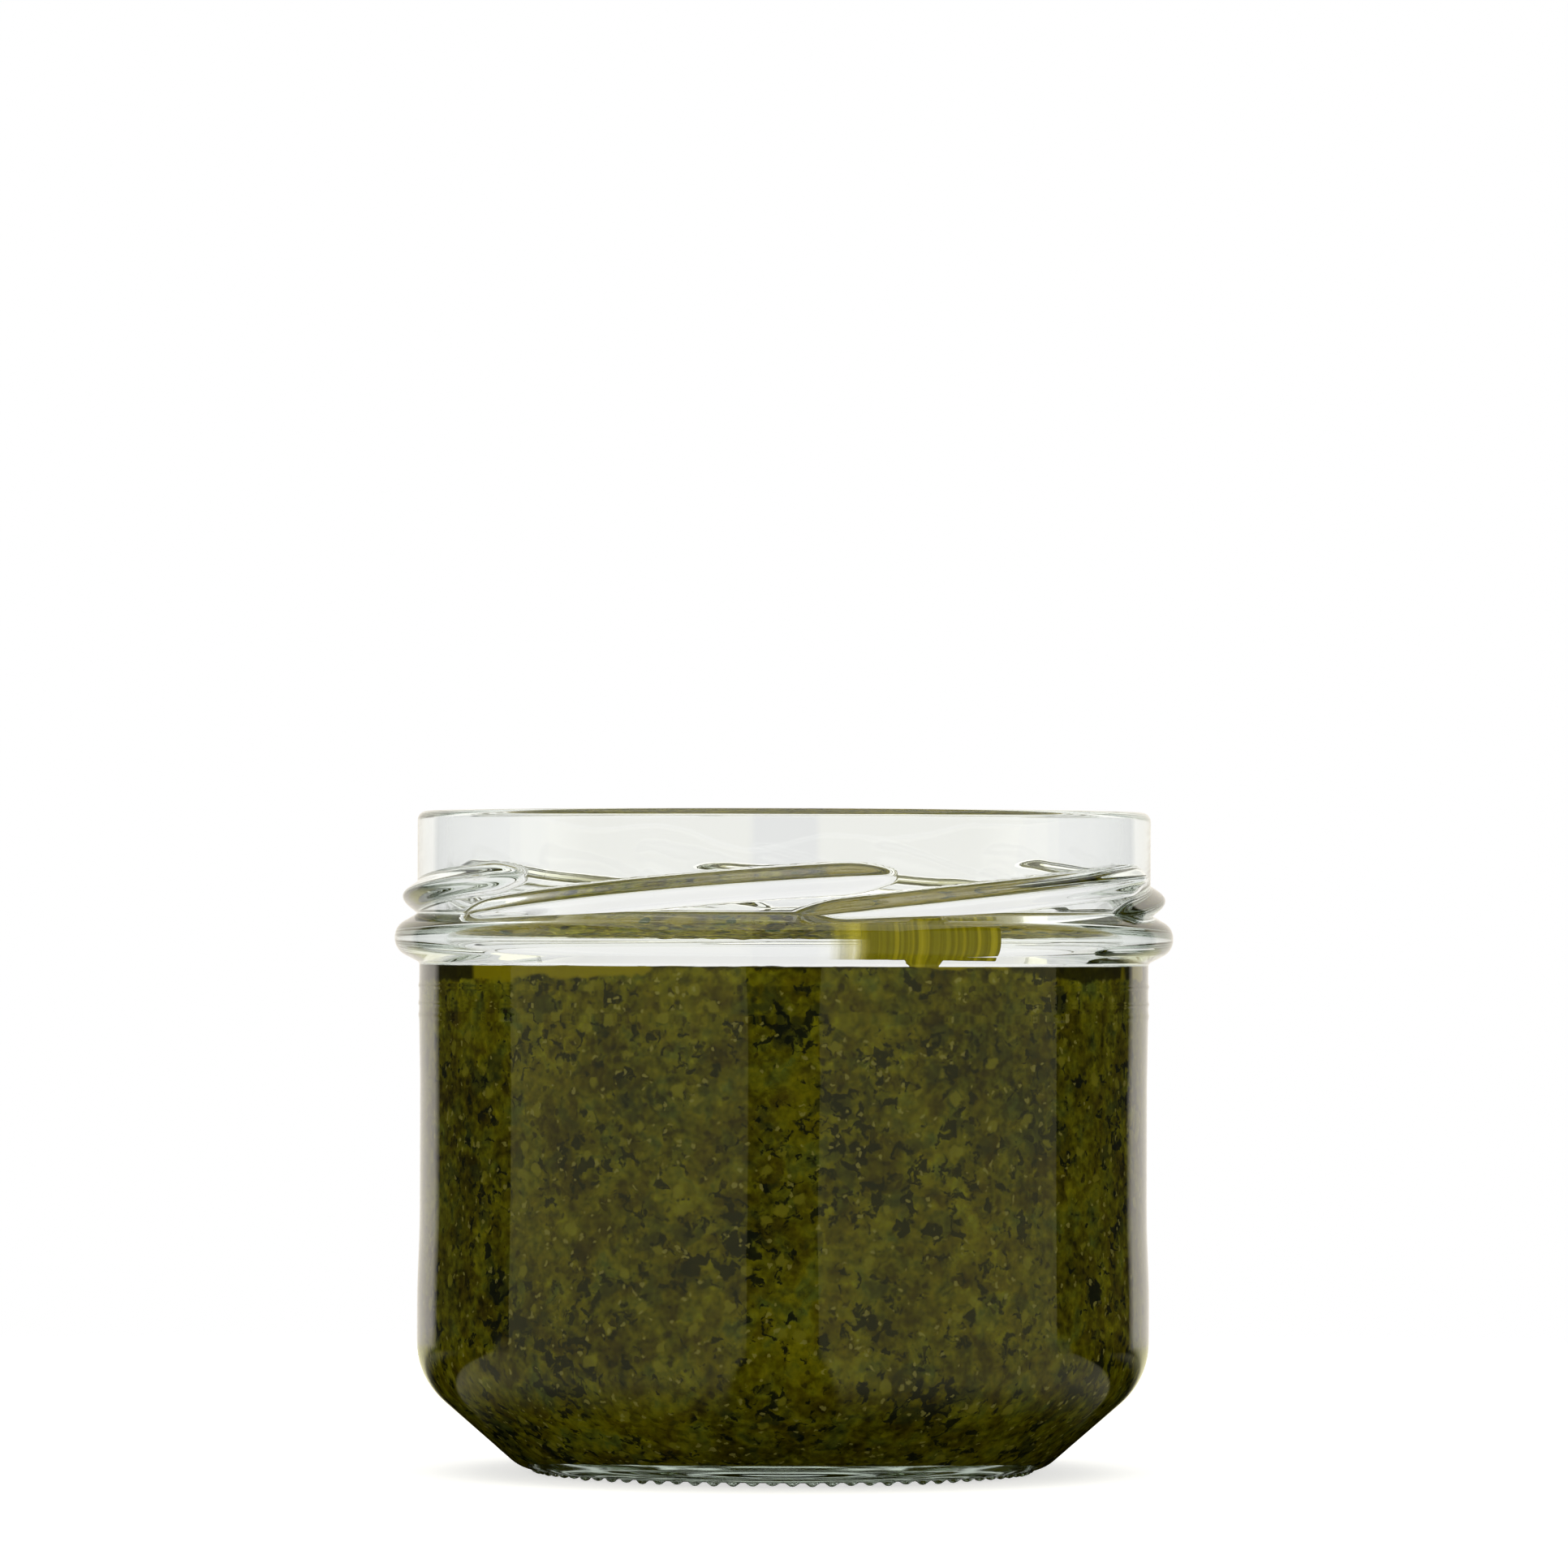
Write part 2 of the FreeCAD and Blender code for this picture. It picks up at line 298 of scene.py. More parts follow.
# ---------------------------------------------------------------- node helpers
class Nodes:
    """Short calls for building the node tree of a material or a world."""

    def __init__(self, owner):
        self.owner = owner
        owner.use_nodes = True
        self.tree = owner.node_tree
        self.tree.nodes.clear()

    def feed(self, socket, value):
        """Links a socket, or sets a plain value on it."""
        if isinstance(value, bpy.types.NodeSocket):
            self.tree.links.new(value, socket)
        else:
            socket.default_value = value

    def add(self, kind, inputs=None, **settings):
        node = self.tree.nodes.new(kind)
        for key, value in settings.items():
            setattr(node, key, value)
        for key, value in (inputs or {}).items():
            self.feed(node.inputs[key], value)
        return node

    def math(self, operation, a, b=0.0):
        return self.add("ShaderNodeMath", {0: a, 1: b}, operation=operation).outputs[0]

    def vector(self, operation, a, b):
        """A node of vector maths, whose vector is outputs[0] and whose number is outputs["Value"]."""
        return self.add("ShaderNodeVectorMath", {0: a, 1: b}, operation=operation)

    def length(self, vector):
        return self.add("ShaderNodeVectorMath", {0: vector}, operation="LENGTH").outputs["Value"]

    def xyz(self, vector):
        return self.add("ShaderNodeSeparateXYZ", {0: vector}).outputs

    def mix(self, share, a, b):
        """Colour a where share is 0 and b where it is 1."""
        node = self.add("ShaderNodeMix", data_type="RGBA")
        for socket, value in ((node.inputs[0], share), (node.inputs[6], a), (node.inputs[7], b)):
            self.feed(socket, value)
        return node.outputs[2]

    def layer(self, colour, share, strength, tone):
        """Lays a tone over a colour."""
        return self.mix(self.math("MULTIPLY", share, strength), colour, tone)

    def choose(self, share, a, b):
        """Number a where share is 0 and b where it is 1."""
        return self.add("ShaderNodeMix", {0: share, 2: a, 3: b}).outputs[0]

    def shaders(self, share, a, b):
        """Shader a where share is 0 and b where it is 1."""
        return self.add("ShaderNodeMixShader", {0: share, 1: a.outputs[0], 2: b.outputs[0]})

    def rise(self, value, low, high):
        """0 below low, 1 above high, smooth between."""
        return self.add("ShaderNodeMapRange", {0: value, 1: low, 2: high, 3: 0.0, 4: 1.0},
                        interpolation_type="SMOOTHSTEP").outputs[0]

    def fall(self, value, low, high):
        """1 below low, 0 above high, smooth between."""
        return self.math("SUBTRACT", 1.0, self.rise(value, low, high))

    def between(self, value, low, high, at_low, at_high):
        """Goes straight from one number to another between low and high."""
        return self.add("ShaderNodeMapRange", {0: value, 1: low, 2: high, 3: at_low, 4: at_high}).outputs[0]

    def swing(self, value, amount):
        """A noise of 0 to 1 as a swing about zero."""
        return self.math("MULTIPLY", self.math("SUBTRACT", value, 0.5), amount)

    def ramp(self, value, stops):
        node = self.add("ShaderNodeValToRGB", {0: value})
        ramp = node.color_ramp
        while len(ramp.elements) < len(stops):
            ramp.elements.new(0.5)
        for element, (place, colour) in zip(ramp.elements, stops):
            element.position = place
            element.color = colour
        return node.outputs[0]

    def noise(self, vector, scale, detail, seed, distortion=0.0):
        inputs = {"Scale": scale, "Detail": detail, "W": seed, "Distortion": distortion, "Vector": vector}
        return self.add("ShaderNodeTexNoise", inputs, noise_dimensions="4D").outputs["Fac"]

    def cells(self, vector, scale, channel):
        """Distance to the nearest of many scattered points, and that point's own random number."""
        points = self.add("ShaderNodeTexVoronoi", {"Vector": vector, "Scale": scale, "Randomness": 1.0})
        number = self.add("ShaderNodeSeparateColor", {0: points.outputs["Color"]}).outputs[channel]
        return points.outputs["Distance"], number

    def position(self):
        return self.add("ShaderNodeTexCoord").outputs["Object"]

    def surface(self, shader, **others):
        """Ends a material's tree."""
        self.add("ShaderNodeOutputMaterial", {"Surface": shader.outputs[0], **others})
        return self.owner


def new_material(name):
    return Nodes(bpy.data.materials.new(name))


def rgb(r, g, b):
    """A display colour, 0 to 255, as the linear colour that nodes take."""
    def linear(value):
        value /= 255
        return value / 12.92 if value <= 0.04045 else ((value + 0.055) / 1.055) ** 2.4
    return (linear(r), linear(g), linear(b), 1.0)


# ---------------------------------------------------------------- materials
GLASS_IOR = 1.5
GLASS_SHADOW = (0.93, 0.95, 0.93, 1.0)
GLASS_TINT = (0.55, 0.67, 0.55, 1.0)
GLASS_TINT_DENSITY = 20.0     # per metre
PUSH_UP_ROUGHNESS = 0.06

PASTE_STOPS = [(0.32, rgb(50, 43, 4)), (0.42, rgb(69, 63, 3)), (0.50, rgb(80, 76, 4)),
               (0.57, rgb(86, 84, 10)), (0.68, rgb(66, 72, 22))]
YELLOW_PATCH = rgb(106, 103, 10)
BROWN_PATCH = rgb(52, 44, 12)
LEAF_SMUDGE = rgb(30, 38, 18)
LEAF = rgb(14, 18, 12)
DARK_DOT = rgb(28, 24, 10)
FIBRE = rgb(30, 30, 12)
DARK_OIL = rgb(26, 24, 2)
GOLDEN_OIL = rgb(118, 108, 6)
POOL_OIL = rgb(118, 108, 3)
OPEN_AIR_GAIN = (1.5, 1.5, 0.6)
WET_IOR = 1.3

# pale grains: (cells per metre, share of cells left out, size within a cell, colour)
GRAINS = ((560.0, 0.88, 0.28, rgb(112, 108, 26)),
          (1400.0, 0.9, 0.26, rgb(128, 122, 60)))

OIL_STREAKS = [(0.36, (0.52, 0.44, 0.02, 1.0)), (0.46, (0.40, 0.34, 0.008, 1.0)),
               (0.55, (0.2, 0.175, 0.004, 1.0)), (0.64, (0.32, 0.28, 0.01, 1.0))]
OIL_FILTER = (0.3, 0.26, 0.01, 1.0)
OIL_CLEARNESS = 0.3           # share of the oil that filters light; the rest scatters it


def clear_glass(name="clear_glass", roughness=0.0):
    """Faintly rippled clear glass, slightly green in its depth, that lets light through to the paste."""
    n = new_material(name)
    ripple = n.noise(n.position(), scale=140.0, detail=2.0, seed=1.0)
    bump = n.add("ShaderNodeBump", {"Strength": 0.25, "Distance": 0.04 * MM, "Height": ripple})
    glass = n.add("ShaderNodeBsdfPrincipled", {"Normal": bump.outputs[0]})
    glass.inputs["Base Color"].default_value = WHITE
    glass.inputs["Roughness"].default_value = roughness
    glass.inputs["IOR"].default_value = GLASS_IOR
    glass.inputs["Transmission Weight"].default_value = 1.0
    through = n.add("ShaderNodeBsdfTransparent", {"Color": GLASS_SHADOW})
    light = n.add("ShaderNodeLightPath")
    mixed = n.shaders(light.outputs["Is Shadow Ray"], glass, through)
    tint = n.add("ShaderNodeVolumeAbsorption", {"Color": GLASS_TINT, "Density": GLASS_TINT_DENSITY})
    return n.surface(mixed, Volume=tint.outputs[0])


def pesto_colour(n):
    """Olive-green paste with torn blue-black leaf, fibres, pale grains and oily patches."""
    place = n.position()
    # bend the pattern, so that nothing in it looks drawn
    bend = n.add("ShaderNodeTexNoise", {"Vector": place, "Scale": 900.0, "Detail": 4.0}).outputs["Color"]
    shift = n.vector("SUBTRACT", bend, (0.5, 0.5, 0.5)).outputs[0]
    bent = n.add("ShaderNodeVectorMath", {0: shift, 1: (1.6 * MM,) * 3, 2: place},
                 operation="MULTIPLY_ADD").outputs[0]
    patches = n.noise(bent, scale=300.0, detail=6.0, seed=9.0, distortion=0.6)
    colour = n.ramp(patches, PASTE_STOPS)
    yellow = n.rise(n.noise(bent, scale=520.0, detail=5.0, seed=41.0, distortion=0.8), 0.57, 0.68)
    colour = n.layer(colour, yellow, 0.5, YELLOW_PATCH)
    brown = n.rise(n.noise(bent, scale=330.0, detail=4.0, seed=57.0, distortion=0.8), 0.55, 0.68)
    colour = n.layer(colour, brown, 0.45, BROWN_PATCH)
    # fine crumb
    fine = n.noise(place, scale=1000.0, detail=6.0, seed=5.0, distortion=0.2)
    large = n.noise(place, scale=85.0, detail=2.0, seed=3.0, distortion=0.3)
    light = n.math("ADD", n.swing(fine, 2.9), n.swing(large, 2.0))
    level = n.add("ShaderNodeClamp", {0: n.math("ADD", light, 0.97), 1: 0.25, 2: 1.9}).outputs[0]
    colour = n.vector("MULTIPLY", colour, level).outputs[0]
    # leaf: ragged smudges that gather in some places, clear bits, small dots and short fibres
    crowd = n.swing(n.noise(place, scale=110.0, detail=2.0, seed=17.0, distortion=0.6), 0.5)
    smudge = n.noise(bent, scale=340.0, detail=4.0, seed=91.0, distortion=0.7)
    smudge = n.rise(n.math("ADD", smudge, crowd), 0.54, 0.66)
    colour = n.layer(colour, smudge, 0.6, LEAF_SMUDGE)
    leaf = n.noise(bent, scale=600.0, detail=5.0, seed=13.0, distortion=0.9)
    leaf = n.rise(n.math("ADD", leaf, crowd), 0.565, 0.63)
    colour = n.layer(colour, leaf, 0.92, LEAF)
    distance, number = n.cells(bent, 800.0, 1)
    near = n.fall(distance, 0.2, 0.36)
    dark = n.math("MULTIPLY", near, n.math("GREATER_THAN", number, 0.72))
    colour = n.layer(colour, dark, 0.7, DARK_DOT)
    strand = n.math("SUBTRACT", n.noise(bent, scale=620.0, detail=1.0, seed=71.0, distortion=0.4), 0.5)
    strand = n.fall(n.math("ABSOLUTE", strand), 0.006, 0.016)
    broken = n.rise(n.noise(place, scale=480.0, detail=2.0, seed=83.0), 0.55, 0.6)
    colour = n.layer(colour, n.math("MULTIPLY", strand, broken), 0.45, FIBRE)
    # pale grains of nut and cheese
    for scale, left_out, size, tone in GRAINS:
        distance, number = n.cells(bent, scale, 0)
        near = n.fall(distance, size, size + 0.2)
        chosen = n.math("GREATER_THAN", number, left_out)
        colour = n.layer(colour, n.math("MULTIPLY", near, chosen), 0.7, tone)
    return colour


def oil_band(n, colour):
    """Dark and golden oil that has risen along the glass, just under the fill line."""
    place = n.position()
    axis = n.xyz(place)
    along = n.vector("MULTIPLY", place, (1.0, 1.0, 0.25)).outputs[0]
    ragged = n.swing(n.noise(place, scale=420.0, detail=4.0, seed=61.0, distortion=0.5), 2.0 * MM)
    # deeper at the sides and behind, and in one golden patch at the front left
    depth = n.math("MULTIPLY", n.rise(axis[1], -0.86 * BORE_RADIUS, -0.6 * BORE_RADIUS), 1.5 * MM)
    toward = n.vector("DOT_PRODUCT", place, (-0.64, -0.77, 0.0))
    patch = n.rise(toward.outputs["Value"], 0.945 * BORE_RADIUS, 0.965 * BORE_RADIUS)
    depth = n.math("MAXIMUM", depth, n.math("MULTIPLY", patch, 1.0 * MM))
    height = n.math("ADD", n.math("ADD", axis[2], ragged), depth)
    wet = n.rise(height, FILL_HEIGHT - 0.75 * MM, FILL_HEIGHT - 0.25 * MM)
    golden = n.rise(n.noise(along, scale=75.0, detail=3.0, seed=37.0, distortion=0.4), 0.56, 0.6)
    golden = n.math("MAXIMUM", golden, patch)
    oil = n.mix(golden, DARK_OIL, GOLDEN_OIL)
    return n.layer(colour, wet, 0.9, oil)


def pesto_wall():
    """The paste where it is wet against the glass."""
    n = new_material("pesto_wall")
    paste = n.add("ShaderNodeBsdfPrincipled", {"Base Color": oil_band(n, pesto_colour(n))})
    paste.inputs["Roughness"].default_value = 0.9
    paste.inputs["Specular IOR Level"].default_value = 0.0
    return n.surface(paste)


def pesto_top():
    """The paste in the open: oily, with relief."""
    n = new_material("pesto_top")
    place = n.position()
    relief = n.noise(place, scale=1100.0, detail=4.0, seed=23.0, distortion=0.3)
    bump = n.add("ShaderNodeBump", {"Strength": 0.8, "Distance": 0.4 * MM, "Height": relief})
    # oil stands along the wall, widest at the front right
    axis = n.xyz(place)
    flat = n.add("ShaderNodeCombineXYZ", {0: axis[0], 1: axis[1]}).outputs[0]
    radius = n.length(flat)
    wander = n.noise(place, scale=90.0, detail=3.0, seed=47.0, distortion=0.5)
    reach = n.math("ADD", radius, n.math("MULTIPLY", wander, 16 * MM))
    toward = n.vector("DOT_PRODUCT", flat, (0.6, -0.8, 0.0))
    near_side = n.rise(n.math("DIVIDE", toward.outputs["Value"], radius), 0.88, 0.93)
    reach = n.math("ADD", reach, n.math("MULTIPLY", near_side, 12 * MM))
    pool = n.rise(reach, BORE_RADIUS + 4.6 * MM, BORE_RADIUS + 6.2 * MM)
    open_air = n.vector("MULTIPLY", pesto_colour(n), OPEN_AIR_GAIN)
    colour = n.layer(open_air.outputs[0], pool, 0.85, POOL_OIL)
    gloss = n.math("SUBTRACT", 0.45, n.math("MULTIPLY", pool, 0.27))
    paste = n.add("ShaderNodeBsdfPrincipled",
                  {"Base Color": colour, "Roughness": gloss, "Normal": bump.outputs[0]})
    paste.inputs["IOR"].default_value = WET_IOR
    return n.surface(paste)


def crumb_material(name, tone):
    """A wet bit of leaf or nut."""
    n = new_material(name)
    bit = n.add("ShaderNodeBsdfPrincipled")
    bit.inputs["Base Color"].default_value = tone
    bit.inputs["Roughness"].default_value = 0.5
    bit.inputs["IOR"].default_value = WET_IOR
    return n.surface(bit)


def oil_material():
    """Thin golden oil in uneven streaks, which scatters most of its light and lets some through."""
    n = new_material("basil_oil")
    place = n.vector("MULTIPLY", n.position(), (1.0, 1.0, 0.12)).outputs[0]
    streaks = n.noise(place, scale=900.0, detail=3.0, seed=29.0, distortion=0.2)
    body = n.add("ShaderNodeBsdfDiffuse", {"Color": n.ramp(streaks, OIL_STREAKS)})
    clear = n.add("ShaderNodeBsdfTransparent")
    clear.inputs["Color"].default_value = OIL_FILTER
    # fades out to the left
    across = n.xyz(n.position())[0]
    across = n.math("ADD", across, n.swing(streaks, 0.12 * BORE_RADIUS))
    thin = n.fall(across, 0.1 * BORE_RADIUS, 0.27 * BORE_RADIUS)
    nothing = n.add("ShaderNodeBsdfTransparent")
    film = n.shaders(OIL_CLEARNESS, body, clear)
    return n.surface(n.shaders(thin, film, nothing))


# ---------------------------------------------------------------- glass
def lug_relief(angle, height):
    """How far the lugs stand out from the neck at an angle and height."""
    out = np.zeros(np.broadcast(angle, height).shape)
    for index in range(LUG_COUNT):
        start = LUG_START + FULL_TURN * index / LUG_COUNT
        along = np.mod(angle - start + math.pi / 2, FULL_TURN) - math.pi / 2
        fraction = np.clip(along / LUG_SWEEP, 0, 1)
        crest = LUG_LOW + (LUG_HIGH - LUG_LOW) * (1 - (1 - fraction) ** LUG_RISE_POWER)
        from_end = np.minimum(along, LUG_SWEEP - along)
        fade = np.sin(np.clip(from_end / LUG_END_SWEEP, 0, 1) * math.pi / 2)
        size = LUG_END_SIZE + (1 - LUG_END_SIZE) * fade
        offset = height - crest
        reach = np.where(offset < 0, LUG_LOWER_FLANK, LUG_UPPER_FLANK) * size
        section = (0.5 + 0.5 * np.cos(math.pi * np.clip(offset / reach, -1, 1))) ** LUG_FULLNESS
        out = np.maximum(out, LUG_HEIGHT * fade * section)
    return out


def knurl_relief(angle, radius):
    """How far the knurls hang below the foot ring, a little uneven in size."""
    rng = np.random.default_rng(7)
    sizes = rng.uniform(SMALLEST_KNURL, 1.0, KNURL_COUNT)
    pitch = FULL_TURN / KNURL_COUNT
    index = np.floor(angle / pitch).astype(int) % KNURL_COUNT
    across = (np.mod(angle, pitch) - pitch / 2) * radius
    distance2 = across ** 2 + (radius - KNURL_CIRCLE) ** 2
    cap = np.sqrt(np.clip(KNURL_RADIUS ** 2 - distance2, 0, None)) - (KNURL_RADIUS - RING_LEVEL)
    return np.clip(cap, 0, None) * sizes[index]


def outside_corners():
    """The outside of the jar from the middle of the foot over the rim to the top of the bore."""
    bead_foot = BEAD_TOP - BEAD_WIDTH
    return [
        (0, RING_LEVEL + PUSH_UP, 0),
        (PUSH_UP_FLAT_RADIUS, RING_LEVEL + PUSH_UP, PUSH_UP_ROUND),
        (RING_INNER_RADIUS, RING_LEVEL, RING_INNER_ROUND),
        (RING_OUTER_RADIUS, RING_LEVEL, RING_OUTER_ROUND),
        (BODY_RADIUS, HEEL_HEIGHT, HEEL_ROUND),
        (BODY_RADIUS, WAIST_START, WAIST_ROUND),
        (WAIST_RADIUS, WAIST_LOW, WAIST_ROUND),
        (WAIST_RADIUS, WAIST_HIGH, WAIST_ROUND),
        (SHOULDER_RADIUS, MOULD_LINE - MOULD_LINE_HALF, MOULD_LINE_ROUND),
        (SHOULDER_RADIUS + MOULD_LINE_RELIEF, MOULD_LINE, MOULD_LINE_ROUND),
        (SHOULDER_RADIUS, MOULD_LINE + MOULD_LINE_HALF, MOULD_LINE_ROUND),
        (SHOULDER_RADIUS, bead_foot, BEAD_FILLET),
        (BEAD_RADIUS, bead_foot + BEAD_SLOPE, BEAD_ROUND),
        (BEAD_RADIUS, BEAD_TOP - BEAD_SLOPE, BEAD_ROUND),
        (FINISH_RADIUS, BEAD_TOP, BEAD_FILLET),
        (FINISH_RADIUS, JAR_HEIGHT, RIM_OUTER_ROUND),
        (BORE_RADIUS, JAR_HEIGHT, RIM_INNER_ROUND),
    ]


def inside_corners(grow):
    """The inside of the jar from the wall's foot to the axis, moved out into the glass by grow."""
    slope = (HEEL_HEIGHT - RING_LEVEL) / (BODY_RADIUS - RING_OUTER_RADIUS)
    offset = (HEEL_THICKNESS - grow) * math.hypot(1, slope)
    wall = BORE_RADIUS + grow
    floor = FLOOR_LEVEL - grow
    heel_at_wall = RING_LEVEL + (wall - RING_OUTER_RADIUS) * slope + offset
    floor_edge = RING_OUTER_RADIUS + (floor - RING_LEVEL - offset) / slope
    return [
        (wall, heel_at_wall, INSIDE_WALL_ROUND + grow),
        (floor_edge, floor, INSIDE_FLOOR_ROUND + grow),
        (RING_INNER_RADIUS, floor, PUSH_UP_ROUND),
        (PUSH_UP_FLAT_RADIUS, floor + FLOOR_RISE, PUSH_UP_ROUND),
        (0, floor + FLOOR_RISE, 0),
    ]


def make_jar():
    path = rounded_path(outside_corners() + inside_corners(0), GLASS_ARC_STEP)
    # closer rows where the lugs, the faint mould lines and the heel need them
    path = spread(path, BEAD_TOP, JAR_HEIGHT, LUG_ROW)
    path = spread(path, JAR_HEIGHT - 22 * MM, BEAD_TOP - BEAD_WIDTH, SHOULDER_ROW)
    path = spread(path, 0, HEEL_HEIGHT + 1 * MM, HEEL_ROW)
    path = divide_ring(path)
    radius = np.repeat(path[:, :1], COLUMNS, axis=1)
    height = np.repeat(path[:, 1:], COLUMNS, axis=1)
    around = ANGLES[None, :]
    outside = np.arange(len(path)) <= int(np.argmax(path[:, 1]))
    rim_foot = JAR_HEIGHT - 1.02 * RIM_OUTER_ROUND
    neck = outside & (path[:, 1] > BEAD_TOP - BEAD_WIDTH / 2) & (path[:, 1] < rim_foot)
    # a lug stands on the neck; next to the bead it only fills what the bead leaves free
    proud = np.maximum(radius, FINISH_RADIUS + lug_relief(around, height))
    radius = np.where(neck[:, None], proud, radius)
    foot = outside & (np.abs(path[:, 1] - RING_LEVEL) < 0.3 * MM)
    height = np.where(foot[:, None], height - knurl_relief(around, radius), height)
    # the faint lines show most at the sides
    side_on = 0.25 + 0.75 * np.abs(np.sin(ANGLES))[None, :] ** 4
    for level in FAINT_LINES:
        ridge = np.exp(-((height - level) / FAINT_LINE_HALF) ** 2) * FAINT_LINE_RELIEF
        radius = np.where(outside[:, None], radius + ridge * side_on, radius)
    wave = smooth_noise(around, height, seed=3, wavelength=GLASS_WAVELENGTH)
    amount = np.where(outside, OUTSIDE_WAVE, INSIDE_WAVE)
    free = (path[:, 1] > WAVE_FREE_HEIGHT) & (path[:, 0] > WAVE_FREE_RADIUS)
    radius = radius + np.where(free[:, None], wave * amount[:, None] + WAVE_SHIFT, 0)
    ring_row = np.flatnonzero(foot)[0]

    def push_up_or_wall(row):
        return (row < ring_row).astype(int)

    materials = [clear_glass(), clear_glass("foot_glass", PUSH_UP_ROUGHNESS)]
    return lathe_object("jar_glass_clear", radius, height, materials, push_up_or_wall)


# ---------------------------------------------------------------- pesto
def top_level(x, y):
    """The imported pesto's uneven top."""
    distance = np.hypot(x, y) / BORE_RADIUS
    turn = FULL_TURN / TOP_SWELL_LENGTH
    dome = TOP_DOME * (1 - 2 * distance * distance)
    swell = TOP_SWELL * np.cos(turn * x + 0.8) * np.cos(turn * y - 0.5)
    swirl = TOP_SWIRL * distance * np.cos(2 * np.arctan2(y, x) + TOP_SWIRL_TWIST * distance)
    return FILL_HEIGHT + dome + swell + swirl


def chunks(x, y, seed):
    """Coarse relief of the paste, about -1 to 1."""
    rng = np.random.default_rng(seed)
    total = np.zeros(np.shape(x))
    weight = 0
    # six waves at each of four lengths in mm, the short ones weaker
    for wavelength, amount in ((9, 1.0), (5, 0.8), (2.6, 0.6), (1.4, 0.45)):
        for wave in range(6):
            direction = rng.uniform(0, FULL_TURN)
            k = FULL_TURN / (wavelength * MM * rng.uniform(0.8, 1.25))
            total += amount * np.cos(k * (x * math.cos(direction) + y * math.sin(direction))
                                     + rng.uniform(0, FULL_TURN))
        weight += amount ** 2 * 3
    return total / math.sqrt(weight)


def pesto_surface(x, y):
    """The paste's top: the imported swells, coarse chunks, and an edge that clings to the glass."""
    distance = np.hypot(x, y)
    middle = smooth_step(np.clip((BORE_RADIUS - distance) / EDGE_WIDTH, 0, 1))
    open_top = top_level(x, y) + CHUNK_RELIEF * chunks(x, y, 5)
    edge = FILL_HEIGHT - EDGE_DROP + EDGE_RELIEF * chunks(x, y, 8)
    return edge + (open_top - edge) * middle


def make_pesto():
    wall = BORE_RADIUS + WALL_OVERLAP
    side = rounded_path([(wall, FILL_HEIGHT - PASTE_WALL_ROW, 0)] + inside_corners(WALL_OVERLAP))
    on_floor = side[:, 0] < RING_INNER_RADIUS + 3 * MM
    side[on_floor, 1] += WALL_OVERLAP + FLOOR_GAP
    side = spread(side[::-1], 20 * MM, FILL_HEIGHT, PASTE_WALL_ROW)
    rings = np.linspace(wall, 0, PASTE_RINGS)
    x = rings[:, None] * np.sin(ANGLES)[None, :]
    y = -rings[:, None] * np.cos(ANGLES)[None, :]
    radius = np.concatenate([np.repeat(side[:, :1], COLUMNS, axis=1),
                             np.repeat(rings[:, None], COLUMNS, axis=1)])
    height = np.concatenate([np.repeat(side[:, 1:], COLUMNS, axis=1), pesto_surface(x, y)])

    def wall_or_top(row):
        return (row >= len(side) - 1).astype(int)

    return lathe_object("pesto_paste", radius, height, [pesto_wall(), pesto_top()], wall_or_top)


def make_crumbs():
    """Loose bits of nut and torn leaf that lie on top of the paste."""
    rng = np.random.default_rng(21)
    corner = np.array([(1, 0, 0), (-1, 0, 0), (0, 1, 0), (0, -1, 0), (0, 0, 1), (0, 0, -1)], float)
    shape = [(0, 2, 4), (2, 1, 4), (1, 3, 4), (3, 0, 4), (2, 0, 5), (1, 2, 5), (3, 1, 5), (0, 3, 5)]
    verts, faces, tones = [], [], []
    for index in range(CRUMB_COUNT):
        radius = (BORE_RADIUS - CRUMB_CLEARANCE) * math.sqrt(rng.uniform())
        turn = rng.uniform(0, FULL_TURN)
        x, y = radius * math.sin(turn), radius * math.cos(turn)
        nut = rng.uniform() < NUT_SHARE
        size = rng.uniform(*(NUT_SIZE if nut else LEAF_SIZE)) * MM
        width = rng.uniform(*CRUMB_WIDTH)
        thickness = rng.uniform(*NUT_THICKNESS) if nut else LEAF_THICKNESS
        body = corner * np.array([1, width, thickness]) * size * rng.uniform(*CRUMB_UNEVENNESS, (6, 1))
        spin = rng.uniform(0, FULL_TURN)
        tilt = rng.uniform(-CRUMB_TILT, CRUMB_TILT)
        c, s = math.cos(spin), math.sin(spin)
        body = body @ np.array([[c, s, 0], [-s, c, 0], [0, 0, 1]])
        body[:, 2] += body[:, 0] * tilt
        level = float(pesto_surface(np.array(x), np.array(y))) + CRUMB_LIFT * size
        start = len(verts)
        verts += [tuple(map(float, v)) for v in body + np.array([x, y, level])]
        faces += [tuple(start + i for i in face) for face in shape]
        tones += [int(nut)] * len(shape)
    materials = [crumb_material("torn_leaf", rgb(40, 56, 8)), crumb_material("nut_crumb", rgb(146, 136, 62))]
    piece = add_mesh("pesto_crumbs", verts, faces, materials)
    piece.data.polygons.foreach_set("material_index", tones)
    piece.data.update()
    return piece


